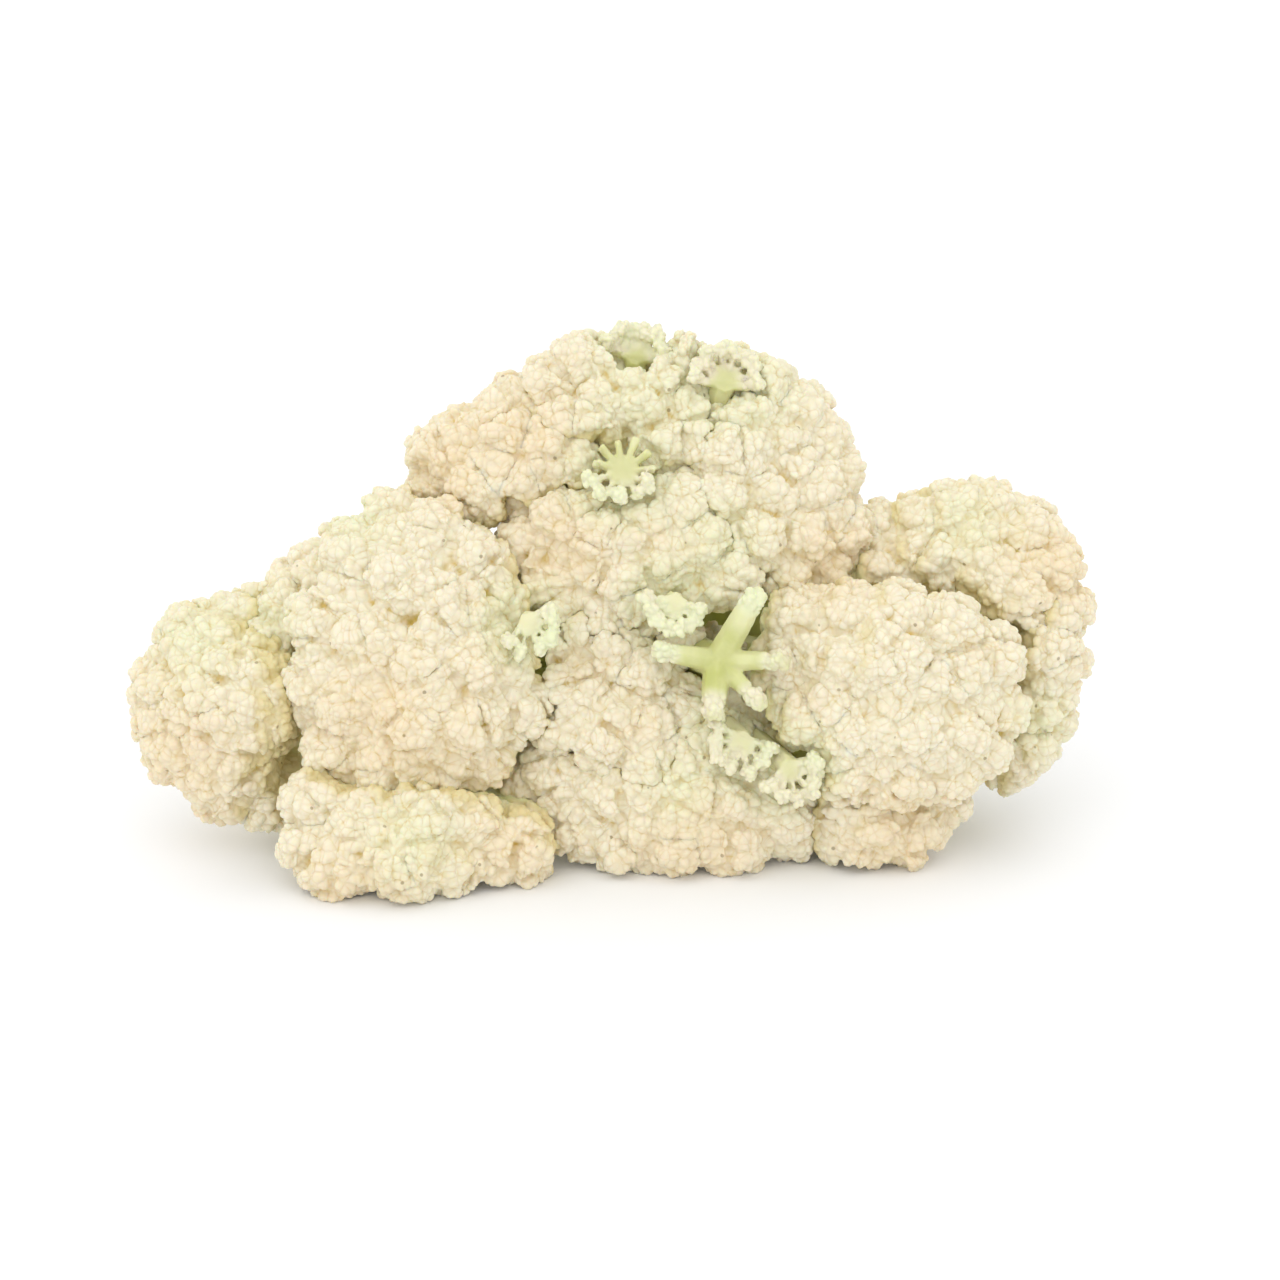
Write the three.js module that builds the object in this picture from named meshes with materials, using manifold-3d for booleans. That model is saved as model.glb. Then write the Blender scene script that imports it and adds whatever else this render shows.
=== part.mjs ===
// A trimmed head of cauliflower, lying on its side with its crown facing -Y.
//
// The crown is laid out flat first, as someone facing it sees it: across to the right, up,
// and out towards the viewer. The whole head then leans back, so that it rests on its lower
// florets and on the cut end of its stump. All sizes are in millimetres.

import * as THREE from 'three';
import { ConvexHull } from 'three/addons/math/ConvexHull.js';
import { mergeVertices } from 'three/addons/utils/BufferGeometryUtils.js';
import Module from 'manifold-3d';

const wasm = await Module();
wasm.setup();

// Driving dimensions
const LEAN = THREE.MathUtils.degToRad(22); // how far the crown leans back from upright
const KNOB = 11; // width of one knob of curd
const KNOB_RELIEF = 2.1; // how far a knob stands out of the creases round it
const SHOULDER_AT = 0.66; // where a knob's shoulder is, from its top to its rim
const SHOULDER_DROP = 0.22; // how far the shoulder is down, as a share of the relief
const ROOT_DEPTH = 24; // how far behind its domes a floret's branch ends
const ROOT_RADIUS = 8; // half width of a floret where its branch carries it
const CORE_DEPTH = 10; // half depth of the mass that a floret's domes stand out of
const CORE_BEHIND = 6; // how far that mass lies behind the domes' middles
const CORE_PAST = 2; // how far it goes past the outermost domes' middles
const DOME_STAGGER = 1.4; // how far a dome stands in or out of its swell
const STAGGER_WAVES = [1.7, 2.3]; // turns that across and up add, so that neighbours differ
const SWELL_SKIRT = 1.3; // where a swell's fall ends, against the drop from top to rim
const ROOT_SPREAD = 0.82; // how far from the hub's line a root stands, against its floret's middle
const FINE_FROM = 0.36; // rays turned to the viewer by less than this carry plainer knobs
const BACK_SPACING = 0.8; // angle in radians between the knobs of a floret's back
const DOME_COVER = 1.4; // how far down a dome its own knobs go, in radii from its top
const KNOB_SUNK = 0.8; // a knob sunk deeper than this in a neighbouring dome is left out
const CLOSEST_KNOBS = 0.66; // least room between two knobs, over a knob's width
const BARE_ROOM = 0.85; // room that a knob needs where the domes' own knobs leave one out
const FILL_TRIES = 1600; // rays tried where the domes' own knobs leave a floret bare
const LEAST_SLANT = 0.2; // limits how far a slanting surface is moved to clear a neighbour
const GAP = 0.35; // clearance between two bodies that touch
const SIMPLIFY = 0.14; // slivers finer than this are merged away
const SETTLE = 1; // how far the knobs that the head rests on are pressed flat

const GOLDEN_ANGLE = Math.PI * (3 - Math.sqrt(5));
const HEXAGON = Math.sqrt(3) / 2; // area of a hexagonal cell over its width squared

const VIEWER = new THREE.Vector3(0, -0.5, 0); // turns each dome's knobs towards the viewer

// Colours read off the photograph
const CURD = { color: 0xf1e6c4, roughness: 0.72, metalness: 0 };
const STEM = { color: 0xd5dc95, roughness: 0.55, metalness: 0 };

// Each swell is a broad low mound of the crown that its florets' domes are set on:
// its middle [across, up], its reach, and how far out its rim and its top lie.
const SWELLS = {
  top: { middle: [10, 96], reach: 62, rim: -4, top: 14 },
  left: { middle: [-50, 57], reach: 44, rim: 4, top: 21 },
  right: { middle: [74, 50], reach: 46, rim: -1, top: 19 },
  lowerLeft: { middle: [-58, 7], reach: 36, rim: 10, top: 20 },
  centre: { middle: [4, 46], reach: 30, rim: 5, top: 13 },
  lowerMiddle: { middle: [18, 26], reach: 42, rim: -4, top: 9 },
  lowerRight: { middle: [72, 16], reach: 35, rim: -5, top: 3 },
  shoulder: { middle: [-80, 74], reach: 26, rim: -2, top: 6 },
  farLeft: { middle: [-101, 44], reach: 36, rim: -12, top: 5 },
  farRight: { middle: [98, 70], reach: 46, rim: -13, top: 4 },
};

// The florets, from the nearest to the one furthest behind its neighbours. Each dome of
// curd is [across, up, radius], and how far it is sunk below its swell, where it is.
const FLORETS = [
  {
    name: 'floret_top_left',
    swell: 'top',
    domes: [
      [-44, 107, 10], [-47, 98, 8], [-38, 113, 8], [-34, 99, 11], [-27, 111, 10], [-26, 120, 9],
      [-17, 109, 9], [-23, 100, 8], [-10, 105, 8],
    ],
  },
  {
    name: 'floret_top_right',
    swell: 'top',
    domes: [
      [32, 129, 8], [40, 124, 9], [48, 118, 9], [54, 110, 9], [60, 103, 7], [52, 99, 10], [44, 109, 10],
      [34, 118, 10], [30, 107, 10], [41, 97, 10], [50, 87, 10], [38, 87, 10], [60, 88, 9], [46, 77, 9],
      [28, 97, 9], [56, 77, 7],
    ],
  },
  {
    name: 'floret_top',
    swell: 'top',
    domes: [
      [-16, 124, 9], [-8, 130, 9], [-1, 133, 8], [8, 134, 8], [17, 131, 9], [-2, 121, 9], [9, 123, 9],
      [20, 121, 9], [13, 110, 8], [-12, 116, 8], [23, 110, 8], [0, 117, 7], [3, 103, 9, 12],
      [15, 101, 9, 9], [-8, 101, 9, 8],
    ],
  },
  {
    name: 'floret_upper_middle',
    swell: 'top',
    domes: [
      [-22, 84, 9], [-13, 90, 9], [-2, 87, 10], [8, 90, 9], [18, 94, 9], [-17, 73, 8], [-7, 76, 9],
      [3, 75, 9], [13, 81, 9], [23, 85, 9], [31, 76, 9], [8, 66, 7], [21, 71, 7], [-2, 65, 8],
      [-11, 68, 8], [-6, 93, 7], [11, 93, 7], [-22, 94, 8, 7],
    ],
  },
  {
    name: 'floret_middle_left',
    swell: 'left',
    domes: [
      [-56, 90, 10], [-46, 87, 10], [-35, 79, 10], [-29, 70, 8], [-66, 79, 10], [-54, 74, 11],
      [-41, 67, 11], [-74, 64, 10], [-62, 59, 12], [-48, 54, 12], [-35, 54, 10], [-26, 52, 8],
      [-75, 49, 10], [-66, 43, 11], [-50, 40, 12], [-37, 39, 11], [-23, 42, 9], [-72, 32, 9],
      [-58, 27, 10], [-45, 27, 10], [-33, 29, 9],
    ],
  },
  {
    name: 'floret_right',
    swell: 'right',
    domes: [
      [48, 64, 10], [60, 64, 11], [73, 64, 11], [85, 61, 11], [46, 53, 11], [59, 54, 12], [72, 54, 13],
      [86, 51, 12], [97, 54, 10], [50, 40, 10], [62, 38, 12], [75, 38, 12], [88, 37, 11], [99, 41, 9],
      [61, 26, 10], [74, 26, 11], [87, 26, 9], [96, 31, 8],
    ],
  },
  {
    name: 'floret_lower_left',
    swell: 'lowerLeft',
    domes: [
      [-76, 18, 9], [-78, 7, 8], [-71, 2, 10], [-63, 13, 11], [-53, 4, 12], [-47, 14, 10], [-41, 2, 9],
      [-25, 7, 12], [-35, 13, 8],
    ],
  },
  {
    name: 'floret_centre',
    swell: 'centre',
    domes: [
      [-7, 45, 9], [0, 56, 8], [8, 51, 9], [-2, 35, 10], [10, 38, 9], [8, 28, 9], [-13, 37, 8],
      [20, 42, 8], [19, 59, 6], [-13, 46, 8], [-14, 57, 7], [-8, 61, 7], [28, 55, 9, 13],
    ],
  },
  {
    name: 'floret_lower_middle',
    swell: 'lowerMiddle',
    domes: [
      [-13, 25, 12], [-10, 12, 11], [2, 7, 9], [0, 20, 11], [17, 8, 10], [13, 20, 11], [28, 20, 12],
      [32, 8, 10], [24, 32, 10], [37, 27, 10], [43, 15, 11], [47, 8, 7], [7, 13, 10], [-21, 22, 9],
      [26, 38, 8], [35, 44, 9, 5],
    ],
  },
  {
    name: 'floret_lower_right',
    swell: 'lowerRight',
    domes: [
      [58, 18, 10], [73, 20, 10], [67, 11, 11], [61, 7, 8], [79, 12, 9], [86, 18, 8], [54, 11, 8],
      [76, 7, 8],
    ],
  },
  {
    name: 'floret_left_shoulder',
    swell: 'shoulder',
    domes: [
      [-83, 69, 9], [-75, 76, 9], [-68, 83, 9], [-88, 60, 9], [-77, 65, 9],
    ],
  },
  {
    name: 'floret_left',
    swell: 'farLeft',
    domes: [
      [-98, 45, 20], [-100, 30, 15], [-114, 46, 11], [-107, 58, 12], [-94, 63, 11], [-90, 18, 10],
      [-111, 33, 12], [-101, 21, 10], [-119, 49, 7], [-117, 38, 8],
    ],
  },
  {
    name: 'floret_upper_right',
    swell: 'farRight',
    domes: [
      [69, 87, 9], [78, 89, 9], [87, 91, 10], [97, 92, 10], [107, 87, 10], [113, 78, 10], [117, 68, 9],
      [70, 77, 10], [83, 80, 11], [95, 79, 11], [105, 71, 11],
    ],
  },
  {
    name: 'floret_far_right',
    swell: 'farRight',
    domes: [
      [112, 57, 11], [110, 44, 11], [108, 33, 10], [117, 53, 8], [104, 26, 8], [114, 64, 9],
      [117, 38, 6],
    ],
  },
];

// The stalk, in the crown's own directions [across, up, out]
const HUB = [4, 60, -42]; // where the stump parts into branches
const STUMP_END = [4, 48, -84];
const STUMP_RADIUS = 19;
const STUMP_SIDES = 16;
const STUMP_PLACES = [-0.25, 0, 0.35, 1]; // from the hub, over the stump's length
const STUMP_SHARES = [0.72, 1.12, 1, 0.97]; // its radius there, over STUMP_RADIUS
const BRANCH_RADII = [10, 5.6]; // at the hub and in its floret
const BRANCH_SIDES = 8;
const BRANCH_SAG = new THREE.Vector3(0, 3, 0); // how far a branch bends away from the crown

// A branch whose curd broke off, with the arms left standing in the gap
const BROKEN_BRANCH = {
  root: [14, 58, -30],
  fork: [27, 54, 22],
  radii: [6.5, 4.2],
  arms: [
    { to: [35, 68, 27], radii: [3.9, 3.2] },
    { to: [15, 56, 26], radii: [3.4, 2.6] },
    { to: [40, 54, 26], radii: [3.2, 2.4] },
    { to: [26, 44, 27], radii: [3.8, 3.4] },
    { to: [35, 46, 27], radii: [2.8, 2.2] },
  ],
};

const BROKEN_SIDES = 9;
const ARM_SIDES = 7;

// Fans: stems whose knobs of curd came away, so that short twigs spread like spokes. A fan
// opens from one angle to another, in degrees from the right, turning as seen against the clock.
const FANS = [
  { at: [3, 102, 20], spokes: 11, spread: 9.5, stemRadius: 3.4, opens: [-20, 310] },
  { at: [-21, 64, 24], spokes: 6, spread: 8.5, stemRadius: 3, opens: [-120, 40] },
  { at: [16, 69, 22], spokes: 7, spread: 8.5, stemRadius: 3, opens: [185, 355] },
  { at: [33, 34, 19], spokes: 7, spread: 9, stemRadius: 3, opens: [160, 360] },
  { at: [45, 27, 19], spokes: 6, spread: 8.5, stemRadius: 3.2, opens: [230, 390] },
  { at: [29, 125, 13], spokes: 8, spread: 10, stemRadius: 3.2, opens: [0, 190] },
  { at: [6, 132, 5], spokes: 8, spread: 8.5, stemRadius: 3, opens: [5, 175] },
];
const SPOKE_UNEVEN = 0.22; // share by which the spokes' lengths differ
const BARE_STEP = 60; // angle in degrees between the corners of a fan's rim without spokes
const FAN_SEED = 7;
const FAN_TURN = 0.005; // how far a fan faces away from the hub, for each millimetre from it
const FAN_STEM_TAPER = 1.5; // a fan's stem is this much thicker at the hub
const FAN_STEM_SIDES = 6;
const FAN_RISE = 0.3; // how far a spoke also leans outwards, over its length
const FAN_NOTCH = 0.3; // how far from the middle two spokes part, over the spread
const SPOKE_DEPTH = 2.2;
const FAN_HOLLOW = 1.05; // radius of the hollow that a fan stands in, over its spread
const FAN_SUNK = 0.5; // how far a fan is below the middle of its hollow, over its spread
const FAN_ASIDE = 0.45; // how far its hollow lies towards where it opens, over its spread
const ALL_ROUND = 300; // a fan that opens by more than this many degrees has its hollow all round
const BRANCH_HOLLOW = 12.5; // radius of the hollow that the broken branch stands in
const SPOKE_FILL = 0.42; // width of the spokes' ends, over the room that they have

// The hollow that a fan stands in. Where the fan doesn't open, the curd comes up to its middle.
function fanHollow({ at: [across, up, out], spread, opens: [from, to] }) {
  const aside = to - from > ALL_ROUND ? 0 : spread * FAN_ASIDE;
  const turn = THREE.MathUtils.degToRad((from + to) / 2);
  return {
    centre: crownPoint([
      across + aside * Math.cos(turn),
      up + aside * Math.sin(turn),
      out + spread * FAN_SUNK,
    ]),
    radius: spread * FAN_HOLLOW,
  };
}

// The hollows in the curd that the fans and the broken branch stand in.
const HOLLOWS = [
  ...FANS.map(fanHollow),
  { centre: crownPoint(BROKEN_BRANCH.fork), radius: BRANCH_HOLLOW },
].map(({ centre, radius }) => ({ centre, axes: new THREE.Vector3(radius, radius, radius) }));

// A seeded draw, so that every build gives the same head.
function seededRandom(seed) {
  let state = seed >>> 0;
  return () => {
    state = (state + 0x6d2b79f5) >>> 0;
    let t = state;
    t = Math.imul(t ^ (t >>> 15), t | 1);
    t ^= t + Math.imul(t ^ (t >>> 7), t | 61);
    return ((t ^ (t >>> 14)) >>> 0) / 4294967296;
  };
}

// Across, up and out as a point of the unleaned head.
function crownPoint([across, up, out]) {
  return new THREE.Vector3(across, -out, up);
}

function solidFrom(points, triangles) {
  const vertProperties = new Float32Array(points.flatMap((p) => [p.x, p.y, p.z]));
  return new wasm.Manifold(
    new wasm.Mesh({ numProp: 3, vertProperties, triVerts: new Uint32Array(triangles) }),
  );
}

function solidOfGeometry(geometry) {
  const bare = geometry.clone();
  bare.deleteAttribute('normal');
  bare.deleteAttribute('uv');
  const merged = mergeVertices(bare, 1e-4);
  return new wasm.Manifold(
    new wasm.Mesh({
      numProp: 3,
      vertProperties: merged.attributes.position.array,
      triVerts: new Uint32Array(merged.index.array),
    }),
  );
}

function largestBody(solid) {
  return solid.decompose().reduce((a, b) => (b.volume() > a.volume() ? b : a));
}

const ASKEW = new THREE.Vector3(0.2, 0.1, 1); // a direction that no stem runs along
const TIP_LENGTH = 0.5; // a limb's rounded tip, over its end radius
const TIP_RADIUS = 0.6;

// A round tapered stem through the given points, closed at both ends.
function stem(path, radii, sides) {
  const points = [];
  const triangles = [];
  const last = path.length - 1;
  path.forEach((place, i) => {
    const ahead = path[Math.min(i + 1, last)].clone().sub(path[Math.max(i - 1, 0)]).normalize();
    const side = ASKEW.clone().cross(ahead).normalize();
    const other = ahead.clone().cross(side);
    for (let k = 0; k < sides; k++) {
      const angle = (2 * Math.PI * k) / sides;
      const rim = side.clone().multiplyScalar(Math.cos(angle));
      rim.addScaledVector(other, Math.sin(angle)).multiplyScalar(radii[i]);
      points.push(rim.add(place));
    }
  });
  const tail = points.push(path[0].clone()) - 1;
  const tip = points.push(path[last].clone()) - 1;
  for (let k = 0; k < sides; k++) {
    const next = (k + 1) % sides;
    triangles.push(tail, next, k);
    triangles.push(tip, last * sides + k, last * sides + next);
    for (let i = 0; i < last; i++) {
      const [a, b] = [i * sides + k, i * sides + next];
      triangles.push(a, b, b + sides, a, b + sides, a + sides);
    }
  }
  return solidFrom(points, triangles);
}

// A stem between two points that ends in a rounded tip.
function limb(from, to, [startRadius, endRadius], sides) {
  const along = to.clone().sub(from);
  const tip = to.clone().addScaledVector(along.normalize(), endRadius * TIP_LENGTH);
  return stem([from, to, tip], [startRadius, endRadius, endRadius * TIP_RADIUS], sides);
}

// How far out a point of a swell lies.
function swellOut(swell, across, up) {
  const { middle, reach, rim, top } = SWELLS[swell];
  const away = Math.hypot(across - middle[0], up - middle[1]) / reach;
  return rim + (top - rim) * (1 - Math.min(SWELL_SKIRT, away * away));
}

function middleAndHalf(values) {
  const [low, high] = [Math.min(...values), Math.max(...values)];
  return [(low + high) / 2, (high - low) / 2];
}

// A floret in the head: its domes as balls, the core behind them and the root they grow from.
function layOut(floret) {
  const balls = floret.domes.map(([across, up, radius, sunk = 0]) => {
    const uneven = DOME_STAGGER * Math.sin(STAGGER_WAVES[0] * across + STAGGER_WAVES[1] * up);
    const centre = crownPoint([across, up, swellOut(floret.swell, across, up) + uneven - sunk]);
    return { centre, axes: new THREE.Vector3(radius, radius, radius) };
  });
  const raised = floret.domes.filter((dome) => dome.length === 3);
  const [across, halfWidth] = middleAndHalf(raised.map((dome) => dome[0]));
  const [up, halfHeight] = middleAndHalf(raised.map((dome) => dome[1]));
  const out = swellOut(floret.swell, across, up);
  balls.push({
    centre: crownPoint([across, up, out - CORE_BEHIND]),
    axes: new THREE.Vector3(halfWidth + CORE_PAST, CORE_DEPTH, halfHeight + CORE_PAST),
  });
  const root = crownPoint([
    HUB[0] + (across - HUB[0]) * ROOT_SPREAD,
    HUB[1] + (up - HUB[1]) * ROOT_SPREAD,
    out - ROOT_DEPTH,
  ]);
  return { root, balls };
}

// How far from the root a ray enters a ball or ellipsoid and leaves it, or null.
function crossing(root, ray, { centre, axes }) {
  const from = root.clone().sub(centre).divide(axes);
  const along = ray.clone().divide(axes);
  const a = along.lengthSq();
  const b = from.dot(along);
  const inside = b * b - a * (from.lengthSq() - 1);
  if (inside <= 0) return null;
  const half = Math.sqrt(inside);
  return { enters: (-b - half) / a, leaves: (half - b) / a };
}

// How far from its root a floret reaches along a ray, with all knobs smoothed away.
function reachOf({ root, balls }, ray) {
  const reach = Math.max(ROOT_RADIUS, ...balls.map((ball) => crossing(root, ray, ball)?.leaves ?? 0));
  const hollows = HOLLOWS.map((ball) => crossing(root, ray, ball)?.enters ?? 0);
  return Math.min(reach, ...hollows.filter((enters) => enters > ROOT_RADIUS));
}

// Directions from the root to the tops of a floret's knobs. Each dome is covered by a
// spiral of knobs of its own, and what they leave bare is filled from an even spread.
function knobRays(laidOut, random) {
  const { root, balls } = laidOut;
  const tops = [];
  const rays = [];
  const keep = (ray, room) => {
    const top = root.clone().addScaledVector(ray, reachOf(laidOut, ray));
    if (tops.every((other) => other.distanceTo(top) > room)) {
      tops.push(top);
      rays.push(ray);
    }
  };
  for (const { centre, axes } of balls.slice(0, -1)) {
    const outward = centre.clone().sub(root).normalize().add(VIEWER).normalize();
    const turned = new THREE.Quaternion().setFromUnitVectors(new THREE.Vector3(0, 0, 1), outward);
    const step = (HEXAGON * KNOB * KNOB) / (2 * Math.PI * axes.x * axes.x);
    const turn = random() * 2 * Math.PI;
    for (let i = 0; i * step < DOME_COVER; i++) {
      const height = 1 - step * (i + (i === 0 ? 0 : 0.5));
      const across = Math.sqrt(1 - height * height);
      const angle = turn + i * GOLDEN_ANGLE;
      const place = new THREE.Vector3(across * Math.cos(angle), across * Math.sin(angle), height);
      place.applyQuaternion(turned).multiplyScalar(axes.x).add(centre);
      const ray = place.clone().sub(root).normalize();
      if (reachOf(laidOut, ray) < place.distanceTo(root) + KNOB_SUNK) keep(ray, KNOB * CLOSEST_KNOBS);
    }
  }
  for (let i = 0; i < FILL_TRIES; i++) {
    const height = 1 - (2 * (i + 0.5)) / FILL_TRIES;
    const across = Math.sqrt(1 - height * height);
    const angle = i * GOLDEN_ANGLE;
    const ray = new THREE.Vector3(across * Math.cos(angle), height, across * Math.sin(angle));
    if (reachOf(laidOut, ray) > ROOT_RADIUS) keep(ray, KNOB * BARE_ROOM);
    else if (rays.every((other) => other.angleTo(ray) > BACK_SPACING)) keep(ray, 0);
  }
  return rays;
}

// For each knob, the corners of its cell in order, and all corners' directions.
function cellsRound(rays) {
  const hull = new ConvexHull().setFromPoints(rays);
  const place = new Map(rays.map((ray, i) => [ray, i]));
  const corners = [];
  const around = rays.map(() => []);
  for (const face of hull.faces) {
    const corner = corners.push(face.normal.clone().normalize()) - 1;
    let edge = face.edge;
    do {
      around[place.get(edge.head().point)].push(corner);
      edge = edge.next;
    } while (edge !== face.edge);
  }
  rays.forEach((ray, i) => {
    const side = new THREE.Vector3(1, 0.3, 0.2).cross(ray).normalize(); // no ray runs along it
    const other = ray.clone().cross(side);
    const angle = (c) => Math.atan2(corners[c].dot(other), corners[c].dot(side));
    around[i].sort((a, b) => angle(a) - angle(b));
  });
  return { corners, around };
}

// The curd of a floret, one knob to a cell: a top, a shoulder round it and a crease at
// the rim. Its back, where rays meet nothing but the root, stays plain.
function floretMesh(floret, seed) {
  const laidOut = layOut(floret);
  const random = seededRandom(seed);
  const rays = knobRays(laidOut, random);
  const { corners, around } = cellsRound(rays);
  const points = [];
  const triangles = [];
  const put = (ray, sunk) => points.push({ ray, reach: reachOf(laidOut, ray) - sunk }) - 1;
  const isBack = (ray) => reachOf(laidOut, ray) <= ROOT_RADIUS;
  const cornerAt = corners.map((ray) => put(ray, isBack(ray) ? 0 : KNOB_RELIEF));
  rays.forEach((ray, i) => {
    const plain = isBack(ray) || -ray.y < FINE_FROM;
    const top = put(ray, 0);
    const shoulder = around[i].map((c) =>
      plain
        ? cornerAt[c]
        : put(ray.clone().lerp(corners[c], SHOULDER_AT).normalize(), KNOB_RELIEF * SHOULDER_DROP),
    );
    around[i].forEach((corner, k) => {
      const next = (k + 1) % around[i].length;
      triangles.push([top, shoulder[k], shoulder[next]]);
      if (!plain) {
        triangles.push([shoulder[k], cornerAt[corner], cornerAt[around[i][next]]]);
        triangles.push([shoulder[k], cornerAt[around[i][next]], shoulder[next]]);
      }
    });
  });
  return { root: laidOut.root, points, triangles };
}

// The floret's mesh as a solid, grown outwards by the given clearance. A point moves
// along its ray, so further where the surface slants away from that ray.
function floretSolid({ root, points, triangles }, grow) {
  const placed = points.map(({ ray, reach }) => root.clone().addScaledVector(ray, reach));
  const slant = points.map(() => 1);
  for (const corners of triangles) {
    const [a, b, c] = corners.map((i) => placed[i]);
    const normal = b.clone().sub(a).cross(c.clone().sub(a)).normalize();
    for (const i of corners) slant[i] = Math.min(slant[i], normal.dot(points[i].ray));
  }
  const moved = placed.map((place, i) =>
    place.clone().addScaledVector(points[i].ray, grow / Math.max(LEAST_SLANT, slant[i])),
  );
  return solidFrom(moved, triangles.flat());
}

// A fan's spokes as one flat star, dished towards the viewer. Where the fan doesn't open,
// its rim has no spokes.
function fanStar(fan, centre, outward, grow) {
  const side = ASKEW.clone().cross(outward).normalize();
  const other = outward.clone().cross(side);
  const random = seededRandom(FAN_SEED + fan.spokes);
  const [from, to] = fan.opens.map(THREE.MathUtils.degToRad);
  const step = (to - from) / (fan.spokes - 1);
  const notch = fan.spread * FAN_NOTCH + 2 * grow;
  const rim = [];
  for (let k = 0; k < fan.spokes; k++) {
    const length = fan.spread * (1 - SPOKE_UNEVEN * random()) + grow;
    const angle = from + step * k;
    const half = (step * SPOKE_FILL) / 2 + grow / length;
    rim.push([angle - half, length], [angle + half, length]);
    if (k < fan.spokes - 1) rim.push([angle + step / 2, notch]);
  }
  const bare = 2 * Math.PI - (to - from);
  const corners = Math.max(1, Math.round(bare / THREE.MathUtils.degToRad(BARE_STEP)));
  for (let k = 0; k < corners; k++) rim.push([to + (bare * (k + 0.5)) / corners, notch]);
  const points = [];
  for (const face of [-1, 1]) {
    const depth = face * (SPOKE_DEPTH / 2 + grow);
    points.push(centre.clone().addScaledVector(outward, depth));
    for (const [angle, length] of rim) {
      const place = centre.clone().addScaledVector(outward, depth + length * FAN_RISE);
      place.addScaledVector(side, Math.cos(angle) * length);
      points.push(place.addScaledVector(other, Math.sin(angle) * length));
    }
  }
  const triangles = [];
  const top = rim.length + 1;
  for (let k = 1; k <= rim.length; k++) {
    const next = (k % rim.length) + 1;
    triangles.push(0, next, k, top, top + k, top + next);
    triangles.push(k, next, top + next, k, top + next, top + k);
  }
  return solidFrom(points, triangles);
}

// The broken branch and the fans, grown by the given clearance.
function bareStems(grow) {
  const wider = (radii) => radii.map((r) => r + grow);
  const { root, fork, radii, arms } = BROKEN_BRANCH;
  const stems = [limb(crownPoint(root), crownPoint(fork), wider(radii), BROKEN_SIDES)];
  for (const arm of arms) {
    stems.push(limb(crownPoint(fork), crownPoint(arm.to), wider(arm.radii), ARM_SIDES));
  }
  for (const fan of FANS) {
    const centre = crownPoint(fan.at);
    const turn = [(fan.at[0] - HUB[0]) * FAN_TURN, (fan.at[1] - HUB[1]) * FAN_TURN];
    const outward = crownPoint([...turn, 1]).normalize();
    const stemRadii = wider([fan.stemRadius * FAN_STEM_TAPER, fan.stemRadius]);
    stems.push(stem([crownPoint(HUB), centre], stemRadii, FAN_STEM_SIDES));
    stems.push(fanStar(fan, centre, outward, grow));
  }
  return wasm.Manifold.union(stems);
}

// The stump and a branch into each floret's root, grown by the given clearance.
function branches(grow) {
  const hub = crownPoint(HUB);
  const stumpEnd = crownPoint(STUMP_END);
  const stumpPath = STUMP_PLACES.map((place) => hub.clone().lerp(stumpEnd, place));
  const stumpRadii = STUMP_SHARES.map((share) => STUMP_RADIUS * share + grow);
  const stems = [stem(stumpPath, stumpRadii, STUMP_SIDES)];
  const [thick, thin] = BRANCH_RADII.map((radius) => radius + grow);
  for (const floret of FLORETS) {
    const { root } = layOut(floret);
    const bend = hub.clone().lerp(root, 0.5).add(BRANCH_SAG);
    const end = root.clone().addScaledVector(root.clone().sub(bend).normalize(), grow);
    stems.push(stem([hub, bend, end], [thick, (thick + thin) / 2, thin], BRANCH_SIDES));
  }
  return wasm.Manifold.union(stems);
}

const FLOOR_WIDTH = 400;
const FLOOR_DEPTH = 100;

// Everything below the surface that the leaned head lies on.
function belowFloor() {
  const slab = new THREE.BoxGeometry(FLOOR_WIDTH, FLOOR_WIDTH, FLOOR_DEPTH);
  slab.translate(0, 0, SETTLE - FLOOR_DEPTH / 2);
  slab.applyMatrix4(new THREE.Matrix4().makeRotationX(LEAN));
  return solidOfGeometry(slab);
}

function meshOf(name, solid, look) {
  const { numProp, numVert, vertProperties, triVerts } = solid.getMesh();
  const positions = new Float32Array(numVert * 3);
  for (let i = 0; i < numVert; i++) {
    positions.set(vertProperties.subarray(i * numProp, i * numProp + 3), i * 3);
  }
  const geometry = new THREE.BufferGeometry();
  geometry.setAttribute('position', new THREE.BufferAttribute(positions, 3));
  geometry.setIndex(new THREE.BufferAttribute(new Uint32Array(triVerts), 1));
  geometry.computeVertexNormals();
  const mesh = new THREE.Mesh(geometry, new THREE.MeshStandardMaterial(look));
  mesh.name = name;
  return mesh;
}

const head = new THREE.Group();
head.rotation.x = -LEAN;

const FIRST_SEED = 100;
const floor = belowFloor();
const spaces = [bareStems(GAP), branches(GAP)];
FLORETS.forEach((floret, i) => {
  const mesh = floretMesh(floret, FIRST_SEED + i);
  const cleared = floretSolid(mesh, 0).subtract(wasm.Manifold.union(spaces)).subtract(floor);
  head.add(meshOf(floret.name, largestBody(cleared.simplify(SIMPLIFY)), CURD));
  spaces.push(floretSolid(mesh, GAP));
});
const stalk = branches(0).add(bareStems(0)).subtract(floor);
head.add(meshOf('stalk', largestBody(stalk.simplify(SIMPLIFY)), STEM));

// The origin is on the surface, under the middle of the head.
const cauliflower = new THREE.Group();
cauliflower.add(head);
cauliflower.updateMatrixWorld(true);
const box = new THREE.Box3().setFromObject(cauliflower, true);
const middle = box.getCenter(new THREE.Vector3());
head.position.set(-middle.x, -middle.y, -SETTLE);

export default cauliflower;
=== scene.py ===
"""A trimmed head of cauliflower on its side, crown to the viewer, on a plain pale floor."""

import math
import random

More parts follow.
